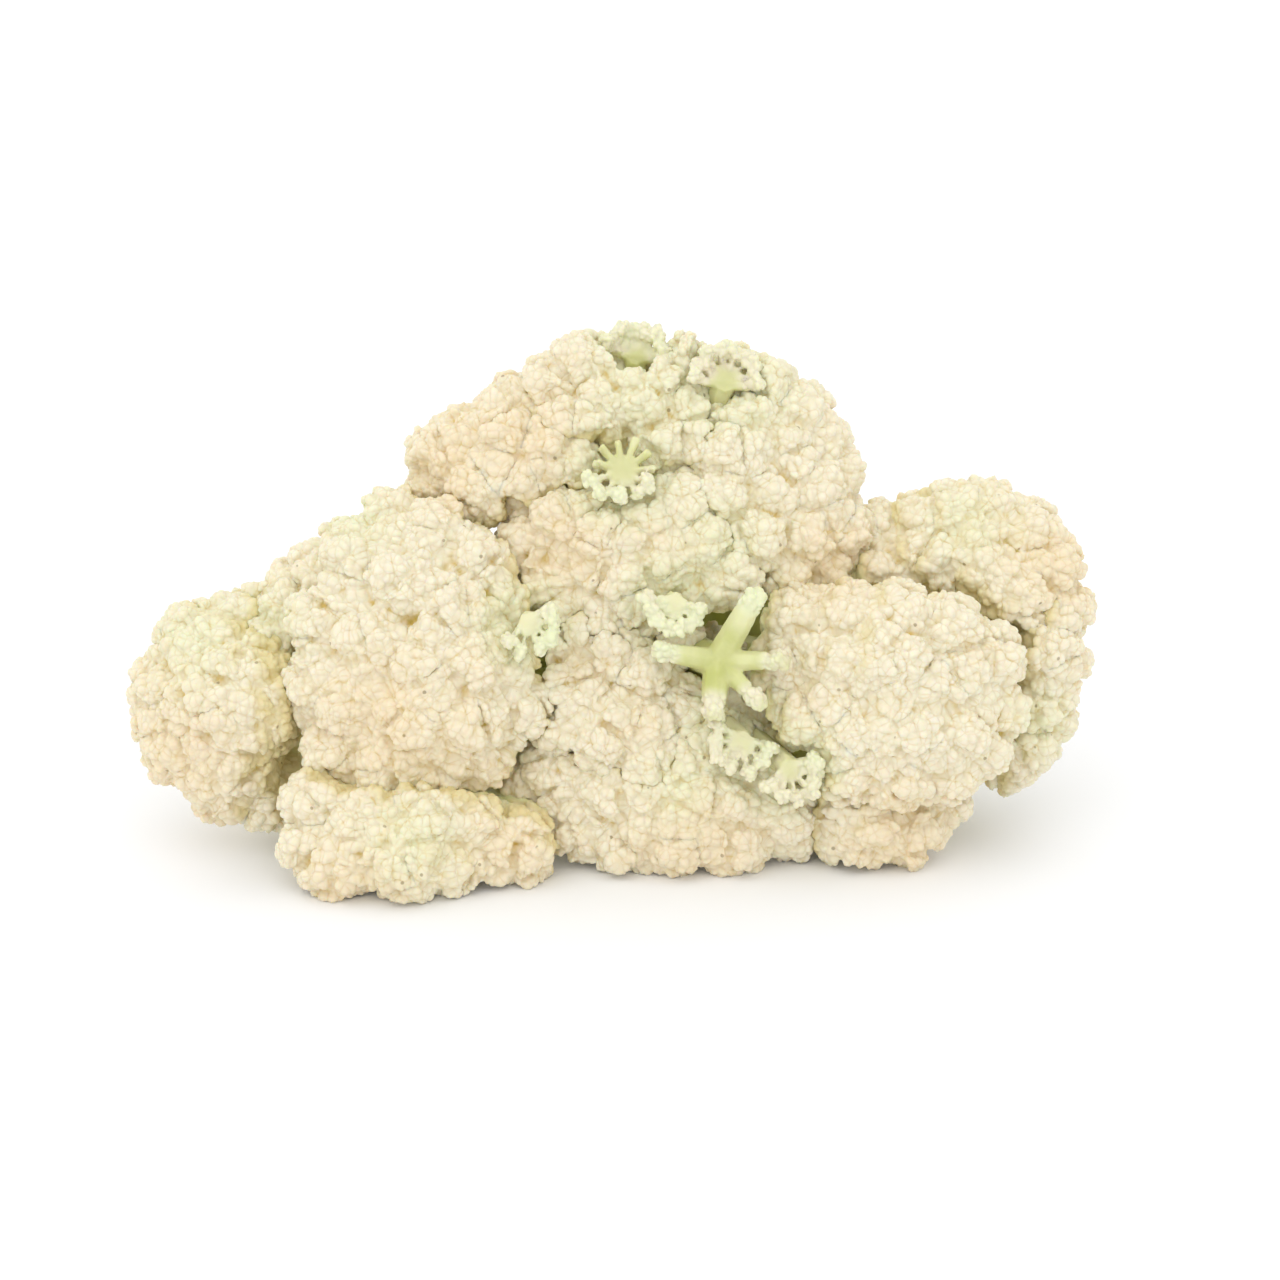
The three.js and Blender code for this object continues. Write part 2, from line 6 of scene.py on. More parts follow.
import bmesh
import bpy
import numpy as np
from bpy.props import (
    FloatProperty,
    FloatVectorProperty,
    IntProperty,
    PointerProperty,
)
from mathutils import Matrix, Vector
from mathutils.kdtree import KDTree


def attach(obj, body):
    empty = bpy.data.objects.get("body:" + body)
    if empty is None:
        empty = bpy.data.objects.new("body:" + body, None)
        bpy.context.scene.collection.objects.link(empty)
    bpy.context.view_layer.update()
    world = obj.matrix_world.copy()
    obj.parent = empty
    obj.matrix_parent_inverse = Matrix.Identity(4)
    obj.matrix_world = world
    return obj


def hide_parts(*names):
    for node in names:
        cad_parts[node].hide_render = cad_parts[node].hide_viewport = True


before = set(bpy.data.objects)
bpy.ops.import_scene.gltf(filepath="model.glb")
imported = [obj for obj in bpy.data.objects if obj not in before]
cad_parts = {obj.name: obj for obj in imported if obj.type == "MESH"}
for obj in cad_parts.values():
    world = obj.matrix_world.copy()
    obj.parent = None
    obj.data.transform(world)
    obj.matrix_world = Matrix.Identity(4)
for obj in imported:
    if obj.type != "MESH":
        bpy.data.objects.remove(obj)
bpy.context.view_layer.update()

bl_info = {
    "name": "Cauliflower Head",
    "version": (1, 0, 0),
    "blender": (4, 5, 0),
    "location": "3D View > Sidebar > Cauliflower",
    "description": "Grows curd over the florets of a cauliflower and finishes its stalk",
    "category": "Object",
}

MM = 0.001
STALK = "stalk"
FLORETS = sorted(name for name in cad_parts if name.startswith("floret_"))

# The head in the frame. Its places are given as someone facing the crown sees them, in mm:
# across to the right, up, and out towards the viewer.
LEAN = math.radians(22)
HEAD_AT = (-0.577, -38.837, -1.0)
HUB = (4, 60, -42)
STUMP_END = (4, 48, -84)
STUMP_RADIUS = 19

# The fans, where knobs came away: place, spread, number of twigs, the angles between which
# they open, in degrees from the right and against the clock, and how pale they are.
FANS = (
    (3, 102, 20, 9.5, 11, -20, 310, 0.45),
    (-21, 64, 24, 8.5, 6, -120, 40, 0.95),
    (16, 69, 22, 8.5, 7, 185, 355, 0.8),
    (33, 34, 19, 9, 7, 160, 360, 0.8),
    (45, 27, 19, 8.5, 6, 230, 390, 0.65),
    (29, 125, 13, 10, 8, 0, 190, 0.4),
    (6, 132, 5, 8.5, 8, 5, 175, 0.15),
)
FAN_TURN = 0.005  # how far a fan faces away from the hub, for each mm from it
FAN_RISE = 0.42  # how far a twig also leans outwards, over its length

# The broken branch's fork, the ends of its arms, and how wide the tuft on each of them is.
BRANCH_FORK = (27, 54, 22)
ARM_ENDS = ((35, 68, 27), (15, 56, 26), (40, 54, 26), (26, 44, 27), (35, 46, 27))
ARM_TUFT = 3.6

# Patches of curd that differ in tone: across, up and reach of each.
GREEN_PATCHES = (
    (-107, 60, 13),
    (-89, 64, 10),
    (-51, 9, 12),
    (111, 38, 9),
    (18, 22, 9),
    (92, 90, 10),
    (-66, 92, 10),
    (27, 84, 13),
    (36, 124, 12),
    (8, 122, 14),
)
PEACH_PATCHES = (
    (-110, 30, 17),
    (-25, 5, 13),
    (-63, -6, 18),
    (-13, 84, 13),
    (-20, 111, 13),
    (57, 80, 13),
    (116, 78, 13),
    (23, 4, 18),
    (75, 6, 16),
    (-60, 38, 18),
    (-44, 104, 10),
)


def crown_place(across, up, out):
    """A place of the crown as a point of the frame, in metres."""
    x = across + HEAD_AT[0]
    y = up * math.sin(LEAN) - out * math.cos(LEAN) + HEAD_AT[1]
    z = up * math.cos(LEAN) + out * math.sin(LEAN) + HEAD_AT[2]
    return Vector((x, y, z)) * MM


def crown_coordinates(points):
    """Points of the frame, in metres, as across, up and out in mm."""
    x, y, z = (points / MM - np.array(HEAD_AT)).T
    up = y * math.sin(LEAN) + z * math.cos(LEAN)
    out = z * math.sin(LEAN) - y * math.cos(LEAN)
    return x, up, out


# Nodes

NODE_STEP = 180  # room between two nodes of a tree
NODE_ROW = 12  # nodes in a row
WAVE_DETAIL = 1.0


def add(tree, kind, inputs=None, **settings):
    """A new node of the tree, with its settings, and its inputs joined or set."""
    count = len(tree.nodes)
    node = tree.nodes.new(kind)
    node.location = (NODE_STEP * (count % NODE_ROW), -NODE_STEP * (count // NODE_ROW))
    for name, value in settings.items():
        setattr(node, name, value)
    for name, value in (inputs or {}).items():
        if isinstance(value, bpy.types.NodeSocket):
            tree.links.new(value, node.inputs[name])
        else:
            node.inputs[name].default_value = value
    return node


def calculate(tree, operation, first, second=0.0, clamp=False):
    """One step of arithmetic on two numbers."""
    node = add(tree, "ShaderNodeMath", {0: first, 1: second}, operation=operation, use_clamp=clamp)
    return node.outputs[0]


def combine(tree, operation, first, second):
    """One step of arithmetic on two vectors."""
    node = add(tree, "ShaderNodeVectorMath", {0: first, 1: second}, operation=operation)
    return node.outputs["Value" if operation in {"DOT_PRODUCT", "LENGTH"} else "Vector"]


def scaled_number(tree, value, factor):
    """A number times a fixed one."""
    return calculate(tree, "MULTIPLY", value, factor)


def scaled(tree, vector, factor):
    """A vector times a number."""
    node = add(tree, "ShaderNodeVectorMath", {0: vector, "Scale": factor}, operation="SCALE")
    return node.outputs["Vector"]


def ramp(tree, value, start, end, low=0.0, high=1.0):
    """The value eased from low at start to high at end."""
    inputs = {"Value": value, "From Min": start, "From Max": end, "To Min": low, "To Max": high}
    return add(tree, "ShaderNodeMapRange", inputs, interpolation_type="SMOOTHSTEP").outputs["Result"]


def stored(tree, mesh, name, value, kind="FLOAT"):
    """The mesh with a value kept on its points."""
    node = add(tree, "GeometryNodeStoreNamedAttribute", data_type=kind, domain="POINT")
    for socket, source in (("Geometry", mesh), ("Value", value)):
        tree.links.new(source, node.inputs[socket])
    node.inputs["Name"].default_value = name
    return node.outputs["Geometry"]


def kept(tree, name, kind="FLOAT"):
    """A value that was kept on the mesh's points."""
    node = add(tree, "GeometryNodeInputNamedAttribute", {"Name": name}, data_type=kind)
    return node.outputs["Attribute"]


def position(tree):
    """Where each point of the mesh is."""
    return add(tree, "GeometryNodeInputPosition").outputs[0]


def normal_of(tree):
    """Which way each point of the mesh faces."""
    return add(tree, "GeometryNodeInputNormal").outputs[0]


def levelled(tree, vector, passes):
    """A vector on the mesh's points, averaged with its neighbours' so many times."""
    blur = {"Value": vector, "Iterations": passes}
    return add(tree, "GeometryNodeBlurAttribute", blur, data_type="FLOAT_VECTOR").outputs[0]


def waves(tree, wide, output):
    """Even noise over the mesh, in waves as wide as given in mm."""
    inputs = {"Vector": position(tree), "Scale": 1 / (wide * MM), "Detail": WAVE_DETAIL}
    return add(tree, "ShaderNodeTexNoise", inputs).outputs[output]


def moved(tree, mesh, offset):
    """The mesh with its points moved."""
    inputs = {"Geometry": mesh, "Offset": offset}
    return add(tree, "GeometryNodeSetPosition", inputs).outputs[0]


def new_tree(name, inputs):
    """A geometry tree with a mesh in and out, and a named input for each size or material."""
    tree = bpy.data.node_groups.new(name, "GeometryNodeTree")
    tree.interface.new_socket("Geometry", in_out="INPUT", socket_type="NodeSocketGeometry")
    for label, kind in inputs:
        tree.interface.new_socket(label, in_out="INPUT", socket_type=kind)
    tree.interface.new_socket("Geometry", in_out="OUTPUT", socket_type="NodeSocketGeometry")
    return tree, add(tree, "NodeGroupInput").outputs


def close_tree(tree, mesh, material):
    """Ends the tree in a smooth, real mesh with its material."""
    smooth = add(tree, "GeometryNodeSetShadeSmooth", {"Geometry": mesh}).outputs[0]
    real = add(tree, "GeometryNodeRealizeInstances", {"Geometry": smooth}).outputs[0]
    done = add(tree, "GeometryNodeSetMaterial", {"Geometry": real, "Material": material}).outputs[0]
    add(tree, "NodeGroupOutput", {"Geometry": done})


SKIN = "skin"  # the place that each point had before any cobble moved it
SKIN_WAVES = 9  # width in mm of the waves that make the cobbles uneven
SKIN_WAVE = 1.6  # and how far they reach, in mm
COBBLE_UNEVEN = 0.85  # how unevenly the cobbles are spread
COBBLE_CREASE = 0.2  # half the width of a crease, over a cobble's
COBBLE_DOME = 0.6  # share of the relief that rounds the tops; the rest is in the creases
COBBLE_RIM = 0.5  # square of how far a cobble's rim is from its middle, over its width
COBBLE_LEVEL = 0.35  # share of the relief by which the tops rise over the old surface
NORMAL_BLUR = 4  # passes that level out the directions in which cobbles rise


def with_skin(tree, mesh, seed):
    """The mesh with each point's place kept, made wavy, and moved apart for each seed."""
    aside = combine(tree, "SUBTRACT", waves(tree, SKIN_WAVES, "Color"), (0.5, 0.5, 0.5))
    wavy = combine(tree, "ADD", position(tree), scaled(tree, aside, 2 * SKIN_WAVE * MM))
    apart = add(tree, "ShaderNodeCombineXYZ", {0: seed, 1: seed, 2: seed}).outputs[0]
    skin = combine(tree, "ADD", wavy, apart)
    return stored(tree, mesh, SKIN, skin, "FLOAT_VECTOR")


def cobbles(tree, mesh, name, width, relief, cover):
    """The mesh with one level of cobbles on it: low domes with narrow creases between them.
    How deep in a crease each point lies is kept under the name."""
    inputs = {
        "Vector": kept(tree, SKIN, "FLOAT_VECTOR"),
        "Scale": calculate(tree, "DIVIDE", 1.0, width),
        "Randomness": COBBLE_UNEVEN,
    }
    edge = add(tree, "ShaderNodeTexVoronoi", inputs, feature="DISTANCE_TO_EDGE").outputs["Distance"]
    away = add(tree, "ShaderNodeTexVoronoi", inputs, feature="F1").outputs["Distance"]
    crease = ramp(tree, edge, 0.0, COBBLE_CREASE, 1.0, 0.0)
    mesh = stored(tree, mesh, name, crease)
    dome = scaled_number(tree, calculate(tree, "MULTIPLY", away, away), COBBLE_DOME / COBBLE_RIM)
    fall = calculate(tree, "ADD", dome, scaled_number(tree, kept(tree, name), 1 - COBBLE_DOME))
    share = calculate(tree, "SUBTRACT", COBBLE_LEVEL, fall)
    full = calculate(tree, "MULTIPLY", relief, cover)
    return raised(tree, mesh, calculate(tree, "MULTIPLY", share, full))


def raised(tree, mesh, height):
    """The mesh with its points moved out along levelled normals."""
    outward = levelled(tree, normal_of(tree), NORMAL_BLUR)
    return moved(tree, mesh, scaled(tree, outward, height))


HOLLOW_BLUR = 30  # passes that level out the knobs before a hollow is told from a top
HOLLOW_DEPTH = 0.6  # depth of a full hollow, in mm


def with_hollows(tree, mesh, sharpen):
    """The mesh with the creases between its knobs kept as hollows, and made deeper."""
    place = position(tree)
    sunk = combine(tree, "SUBTRACT", levelled(tree, place, HOLLOW_BLUR), place)
    outward = levelled(tree, normal_of(tree), NORMAL_BLUR)
    depth = combine(tree, "DOT_PRODUCT", sunk, outward)
    mesh = stored(tree, mesh, "depth", depth)
    # The hollow mask also places the painted shade in the creases.
    mesh = stored(tree, mesh, "hollow", ramp(tree, kept(tree, "depth"), 0.0, HOLLOW_DEPTH * MM))
    down = calculate(tree, "MULTIPLY", kept(tree, "depth"), scaled_number(tree, sharpen, -1.0))
    return raised(tree, mesh, down)


def swells(tree, wide):
    """Even noise over the mesh, round 0, with waves as wide as given in mm."""
    return calculate(tree, "SUBTRACT", waves(tree, wide, 0), 0.5)


def above_floor(tree, mesh):
    """The mesh with nothing of it below the floor."""
    parts = add(tree, "ShaderNodeSeparateXYZ", {0: position(tree)}).outputs
    height = calculate(tree, "MAXIMUM", parts["Z"], 0.0)
    pressed = add(tree, "ShaderNodeCombineXYZ", {0: parts["X"], 1: parts["Y"], 2: height}).outputs[0]
    return add(tree, "GeometryNodeSetPosition", {"Geometry": mesh, "Position": pressed}).outputs[0]


FACING_BLUR = 60  # passes that level out the knobs before a side is told from the back
CURD_FACING = (-0.32, 0.02)  # curd covers what faces away from the hub by more than this
# The walls of the gaps are given painted shade in the curd's material.
WALL_FACING = (-0.2, 0.4)  # what faces away by less than this is the wall of a gap
CURD_REACH = (15, 25)  # and what is further than this from the floret's root, in mm
SWELL_WAVES = 17  # width of the uneven swells, in mm
PIT_WAVES = 13  # width of the waves that place the pits, in mm
PIT_FROM = (0.02, 0.1)  # where the noise makes pits
PIT_CREASE = (0.35, 0.8)  # and how deep in a hollow a pit starts
UNDERSIDE_RELIEF = 0.12  # share of the cobbles' relief that is left on the undersides


def level_of_cobbles(tree, mesh, given, level, cover):
    """The mesh with the cobbles of one level, sized by the tree's inputs of that name."""
    width = given[level + " Width"]
    relief = given[level + " Relief"]
    return cobbles(tree, mesh, level.lower() + "_crease", width, relief, cover)


def turned_outwards(tree, hub):
    """How far the floret's broad surface faces away from the hub: 1 straight away, -1 to it."""
    level = levelled(tree, normal_of(tree), FACING_BLUR)
    away = combine(tree, "SUBTRACT", position(tree), hub)
    units = [
        add(tree, "ShaderNodeVectorMath", {0: vector}, operation="NORMALIZE").outputs[0]
        for vector in (level, away)
    ]
    return combine(tree, "DOT_PRODUCT", *units)


def with_pits(tree, mesh, depth):
    """The mesh sunk a little more in some of its hollows, and how much is kept."""
    places = ramp(tree, swells(tree, PIT_WAVES), *PIT_FROM)
    pit = calculate(tree, "MULTIPLY", places, ramp(tree, kept(tree, "hollow"), *PIT_CREASE))
    # The pit mask also places the painted shade in the pits.
    mesh = stored(tree, mesh, "pit", calculate(tree, "MULTIPLY", pit, kept(tree, "curd_side")))
    return raised(tree, mesh, calculate(tree, "MULTIPLY", kept(tree, "pit"), depth))


def curd_tree():
    """Curd over a floret: swells, deeper hollows, pits and two levels of cobbles. The undersides
    keep little of it, and what the material needs is kept on the points."""
    sizes = [
        ("Swell", "NodeSocketFloat"),
        ("Cluster Width", "NodeSocketFloat"),
        ("Cluster Relief", "NodeSocketFloat"),
        ("Grain Width", "NodeSocketFloat"),
        ("Grain Relief", "NodeSocketFloat"),
        ("Swell Relief", "NodeSocketFloat"),
        ("Sharpening", "NodeSocketFloat"),
        ("Pit Depth", "NodeSocketFloat"),
        ("Hub", "NodeSocketVector"),
        ("Root", "NodeSocketVector"),
        ("Seed", "NodeSocketInt"),
        ("Material", "NodeSocketMaterial"),
    ]
    tree, given = new_tree("Curd", sizes)
    facing = turned_outwards(tree, given["Hub"])
    from_root = combine(tree, "SUBTRACT", position(tree), given["Root"])
    distance = combine(tree, "LENGTH", from_root, (0, 0, 0))
    start, end = [reach * MM for reach in CURD_REACH]
    outside = ramp(tree, facing, *CURD_FACING)
    side = calculate(tree, "MAXIMUM", outside, ramp(tree, distance, start, end))
    mesh = stored(tree, given["Geometry"], "curd_side", side)
    # The wall mask places the painted shade on the walls of the gaps.
    mesh = stored(tree, mesh, "wall", ramp(tree, facing, *WALL_FACING, 1.0, 0.0))
    uneven = calculate(tree, "MULTIPLY", swells(tree, SWELL_WAVES), given["Swell Relief"])
    mesh = raised(tree, mesh, calculate(tree, "ADD", given["Swell"], uneven))
    mesh = with_skin(tree, mesh, given["Seed"])
    cover = ramp(tree, kept(tree, "curd_side"), 0.0, 1.0, UNDERSIDE_RELIEF, 1.0)
    mesh = with_hollows(tree, mesh, calculate(tree, "MULTIPLY", given["Sharpening"], cover))
    mesh = with_pits(tree, mesh, scaled_number(tree, given["Pit Depth"], -1.0))
    mesh = level_of_cobbles(tree, mesh, given, "Cluster", cover)
    mesh = level_of_cobbles(tree, mesh, given, "Grain", cover)
    close_tree(tree, above_floor(tree, mesh), given["Material"])
    return tree


FIBRE_STRETCH = (1.0, 0.25, 1.0)
FIBRE_SCALE = 500.0
FIBRE_DETAIL = 3.0


def stalk_tree():
    """Fine fibres over the stalk, and grains of curd left on the tips of its fans."""
    sizes = [
        ("Grain Width", "NodeSocketFloat"),
        ("Grain Relief", "NodeSocketFloat"),
        ("Fibre Relief", "NodeSocketFloat"),
        ("Seed", "NodeSocketInt"),
        ("Material", "NodeSocketMaterial"),
    ]
    tree, given = new_tree("Stalk", sizes)
    mesh = with_skin(tree, given["Geometry"], given["Seed"])
    mesh = level_of_cobbles(tree, mesh, given, "Grain", kept(tree, "tip"))
    stretched = combine(tree, "MULTIPLY", position(tree), FIBRE_STRETCH)
    inputs = {"Vector": stretched, "Scale": FIBRE_SCALE, "Detail": FIBRE_DETAIL}
    fibres = add(tree, "ShaderNodeTexNoise", inputs).outputs[0]
    rise = calculate(tree, "SUBTRACT", fibres, 0.5)
    relief = calculate(tree, "MULTIPLY", rise, given["Fibre Relief"])
    mesh = moved(tree, mesh, scaled(tree, normal_of(tree), relief))
    close_tree(tree, above_floor(tree, mesh), given["Material"])
    return tree


def socket_id(tree, label):
    """The identifier of a tree's named input."""
    return next(
        item.identifier
        for item in tree.interface.items_tree
        if item.item_type == "SOCKET" and item.in_out == "INPUT" and item.name == label
    )


# Meshes


WELD = 0.001  # points nearer to each other than this are one, in mm
SMOOTH_FACTOR = 0.5


def whole_mesh(node):
    """A copy of a CAD node's mesh with its loose triangles joined."""
    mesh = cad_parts[node].data.copy()
    sheet = bmesh.new()
    sheet.from_mesh(mesh)
    bmesh.ops.remove_doubles(sheet, verts=sheet.verts, dist=WELD * MM)
    sheet.to_mesh(mesh)
    sheet.free()
    mesh.materials.clear()
    return mesh


def piece_with(mesh, name, cell, smoothing):
    """A new object of the mesh, in fine even cells, with its facets smoothed away."""
    piece = bpy.data.objects.new(name, mesh)
    bpy.context.scene.collection.objects.link(piece)
    remesh = piece.modifiers.new("Fine cells", "REMESH")
    remesh.mode = "VOXEL"
    remesh.voxel_size = cell
    smooth = piece.modifiers.new("Smooth facets", "SMOOTH")
    smooth.factor = SMOOTH_FACTOR
    smooth.iterations = smoothing
    return piece


def settle_modifiers(piece):
    """Makes what the modifiers show the piece's own plain mesh."""
    graph = bpy.context.evaluated_depsgraph_get()
    made = bpy.data.meshes.new_from_object(piece.evaluated_get(graph))
    piece.modifiers.clear()
    piece.data = made
    return made


def points_of(mesh):
    """The mesh's points, in metres."""
    places = np.zeros(len(mesh.vertices) * 3, np.float32)
    mesh.vertices.foreach_get("co", places)
    return places.reshape(-1, 3).astype(float)


ROOT_SHARE = 0.02  # share of a floret's points that lie round its root
ROOT_POINTS = 8  # and the fewest points that are taken for it


def root_of(points):
    """The place that a floret grows from: the middle of its points nearest to the hub."""
    away = np.linalg.norm(points - np.array(crown_place(*HUB)), axis=1)
    nearest = np.argsort(away)[: max(ROOT_POINTS, int(ROOT_SHARE * len(points)))]
    return Vector(points[nearest].mean(axis=0))


def keep_values(mesh, name, values):
    """Keeps one number for each point of the mesh."""
    attribute = mesh.attributes.get(name) or mesh.attributes.new(name, "FLOAT", "POINT")
    attribute.data.foreach_set("value", np.clip(values, 0, 1).astype(np.float32))


def patches(places, points):
    """How much each point belongs to the patches, from 0 to 1."""
    across, up, _ = crown_coordinates(points)
    share = np.zeros(len(points))
    for middle_across, middle_up, reach in places:
        away = np.hypot(across - middle_across, up - middle_up) / reach
        share = np.maximum(share, np.exp(-away * away))
    return share


def near_fans(points, start, end, weights=None):
    """How near each point is to a fan's middle: 1 within start of its spread, 0 past end.
    With weights, one for each fan, the full share is that fan's weight."""
    share = np.zeros(len(points))
    for number, (across, up, out, spread, *_) in enumerate(FANS):
        middle = np.array(crown_place(across, up, out))
        away = np.linalg.norm(points - middle, axis=1) / (spread * MM)
        weight = weights[number] if weights else 1
        share = np.maximum(share, weight * np.clip((end - away) / (end - start), 0, 1))
    return share


TIP_EDGE = 2.4  # how sharply the curd on a tip ends at its reach


def near_tips(points, tips, reach):
    """How much curd each point carries: over 1 close to a tip, 0 at reach and less beyond."""
    tree = KDTree(len(tips))
    for number, tip in enumerate(tips):
        tree.insert(tip, number)
    tree.balance()
    away = np.array([tree.find(point)[2] for point in points])
    return TIP_EDGE * (1 - away / reach)


TWIG_SIDES = 8


def add_twig(sheet, path, radii):
    """Adds a round twig along a path, closed at both ends, to the mesh that is being made."""
    rings = []
    for number, place in enumerate(path):
        ahead = path[min(number + 1, len(path) - 1)] - path[max(number - 1, 0)]
        turn = ahead.to_track_quat("Z", "X")
        ring = []
        for corner in range(TWIG_SIDES):
            angle = 2 * math.pi * corner / TWIG_SIDES
            rim = Vector((math.cos(angle), math.sin(angle), 0)) * radii[number]
            ring.append(sheet.verts.new(place + turn @ rim))
        rings.append(ring)
    for lower, upper in zip(rings, rings[1:]):
        for corner in range(TWIG_SIDES):
            after = (corner + 1) % TWIG_SIDES
            sheet.faces.new((lower[corner], lower[after], upper[after], upper[corner]))
    sheet.faces.new(reversed(rings[0]))
    sheet.faces.new(rings[-1])


TUFT_AHEAD = 0.4  # how far a tuft leans along its twig
TUFT_SPREAD = 0.42  # how far its beads lie apart, over its width
BEAD_SIZES = (0.42, 0.58)  # radii of the beads, over the tuft's width
BEAD_ROUNDS = 2


def add_tuft(sheet, place, outward, width, beads, chance):
    """Adds a tuft of small round beads at a twig's end."""
    for _ in range(beads):
        aside = Vector([chance.uniform(-1, 1) for _ in range(3)])
        middle = place + (aside + outward * TUFT_AHEAD) * width * TUFT_SPREAD
        size = width * chance.uniform(*BEAD_SIZES)
        at = Matrix.Translation(middle)
        bmesh.ops.create_icosphere(sheet, subdivisions=BEAD_ROUNDS, radius=size, matrix=at)


TWIG_RADII = (1.1, 0.85, 0.75, 0.8)  # along a twig, in mm
TWIG_PLACES = (0.0, 0.35, 0.7, 0.95)  # over its length
TWIG_TURN = 0.05  # how far a twig strays from its even angle, in radians
TWIG_LENGTHS = (0.72, 0.9)  # over the fan's spread
TWIG_RISES = (0.6, 1.3)  # over the rise of an even twig
TWIG_FOOT = 1.2  # how far in front of the fan's place its twigs start, in mm
FAN_UPRIGHT = Vector((0.2, 1, -0.1))  # square to this and to its facing is a fan's right
ALL_ROUND = 300  # a fan that opens further than this is a whole star
BARE_ABOVE = -0.1  # and its twigs carry no curd where they point higher than this
TUFT_WIDTH = 3.0
TUFT_BEADS = 8
ARM_BEADS = 16
ARM_AHEAD = 0.5  # how far past its arm's end a tuft's middle is, over its width
TWIG_SEED = 11


def grow_fan(sheet, fan, chance):
    """Adds a fan's twigs and their tufts of curd. Returns the tufts' places."""
    across, up, out, spread, twigs, opens, closes, _ = fan
    centre = Vector((across, up, out))
    facing = Vector(((across - HUB[0]) * FAN_TURN, (up - HUB[1]) * FAN_TURN, 1)).normalized()
    right = FAN_UPRIGHT.cross(facing).normalized()
    over = facing.cross(right)
    tips = []
    for number in range(twigs):
        angle = math.radians(opens + (closes - opens) * number / (twigs - 1))
        angle += chance.uniform(-TWIG_TURN, TWIG_TURN)
        length = spread * chance.uniform(*TWIG_LENGTHS)
        rise = length * FAN_RISE * chance.uniform(*TWIG_RISES)
        aside = right * math.cos(angle) + over * math.sin(angle)
        path = [
            crown_place(*(centre + aside * (length * p) + facing * (TWIG_FOOT + rise * p * p)))
            for p in TWIG_PLACES
        ]
        add_twig(sheet, path, [radius * MM for radius in TWIG_RADII])
        if closes - opens > ALL_ROUND and math.sin(angle) > BARE_ABOVE:
            continue
        outward = (path[-1] - path[-2]).normalized()
        add_tuft(sheet, path[-1], outward, TUFT_WIDTH * MM, TUFT_BEADS, chance)
        tips.append(path[-1])
    return tips


def grow_twigs(mesh):
    """Adds the fans' twigs, and tufts of curd on them and on the broken branch's arms, to the
    stalk's mesh. Returns the tufts' places."""
    chance = random.Random(TWIG_SEED)
    sheet = bmesh.new()
    sheet.from_mesh(mesh)
    tips = []
    for fan in FANS:
        tips.extend(grow_fan(sheet, fan, chance))
    for across, up, out in ARM_ENDS:
        end = crown_place(across, up, out)
        outward = (end - crown_place(*BRANCH_FORK)).normalized()
        end = end + outward * ARM_TUFT * ARM_AHEAD * MM
        add_tuft(sheet, end, outward, ARM_TUFT * MM, ARM_BEADS, chance)
        tips.append(end)
    sheet.to_mesh(mesh)
    sheet.free()
    return tips


# Materials


def new_material(name):
    """A material with its tree and its shader."""
    material = bpy.data.materials.new(name)
    material.use_nodes = True
    shader = material.node_tree.nodes["Principled BSDF"]
    return material, material.node_tree, shader


def attribute(tree, name, output="Fac"):
    """A value kept on the piece's points, in a material."""
    return add(tree, "ShaderNodeAttribute", attribute_name=name).outputs[output]


def lines(tree, width, reach):
    """Painted shade lines in the creases between cobbles of a width: 1 in a crease, 0 past its reach.
    """
    skin = attribute(tree, SKIN, "Vector")
    inputs = {"Vector": skin, "Scale": 1 / width, "Randomness": COBBLE_UNEVEN}
    edge = add(tree, "ShaderNodeTexVoronoi", inputs, feature="DISTANCE_TO_EDGE").outputs["Distance"]
    return ramp(tree, edge, 0.0, reach, 1.0, 0.0)


def mixed(tree, factor, first, second):
    """Two colours mixed by a factor."""
    inputs = {"Factor": factor, 6: first, 7: second}
    return add(tree, "ShaderNodeMix", inputs, data_type="RGBA", clamp_factor=True).outputs[2]


def solid(colour):
    """A colour with full alpha."""
    return (*colour, 1.0)


def noise(tree, place, scale, detail=2.0):
    """Even noise over the piece, from 0 to 1."""
    inputs = {"Vector": place, "Scale": scale, "Detail": detail}
    return add(tree, "ShaderNodeTexNoise", inputs).outputs["Fac"]


def flesh(tree, shader, tone, roughness, bump, values, invert=False):
    """Joins a tone, a roughness and a bump to the shader, and sets its other inputs."""
    tree.links.new(tone, shader.inputs["Base Color"])
    tree.links.new(roughness, shader.inputs["Roughness"])
    relief = add(tree, "ShaderNodeBump", bump, invert=invert).outputs[0]
    tree.links.new(relief, shader.inputs["Normal"])
    for name, value in values.items():
        shader.inputs[name].default_value = value


# Scales are in turns for each metre. A range of two is where the value starts and ends to show,
# and a range of four also says what it gives at each end.
TONE_SCALE = 38.0
TONE_PEACH = (0.5, 0.72, 0.0, 0.5)
PEACH_TINT = 0.8
MOTTLE_SCALE = 420.0
MOTTLE_PALE = (0.3, 0.7)
MOTTLE_GREEN = (0.25, 0.6, 0.5, 1.0)
MOTTLE_LINES = (0.35, 0.65, 0.2, 1.0)  # how the lines between the cobbles are broken up
GREEN_TINT = 0.6
# Painted shade: hollows and the creases between cobbles are darkened towards the crease colour,
# standing in for the shade that falls in them.
HOLLOW_SHADE_RANGE = (0.15, 0.85)
HOLLOW_SHADE = 0.95
# The painted shade lines along the cobbles' creases: how far they reach and how dark they get.
CLUSTER_LINE = 0.06  # how far a line reaches from its crease, over the cobble's width
CLUSTER_LINE_SHADE = 0.38
GRAIN_LINE = 0.1
GRAIN_LINE_SHADE = 0.28
# Painted shade on the walls of the gaps between florets.
WALL_SHADE = 0.6
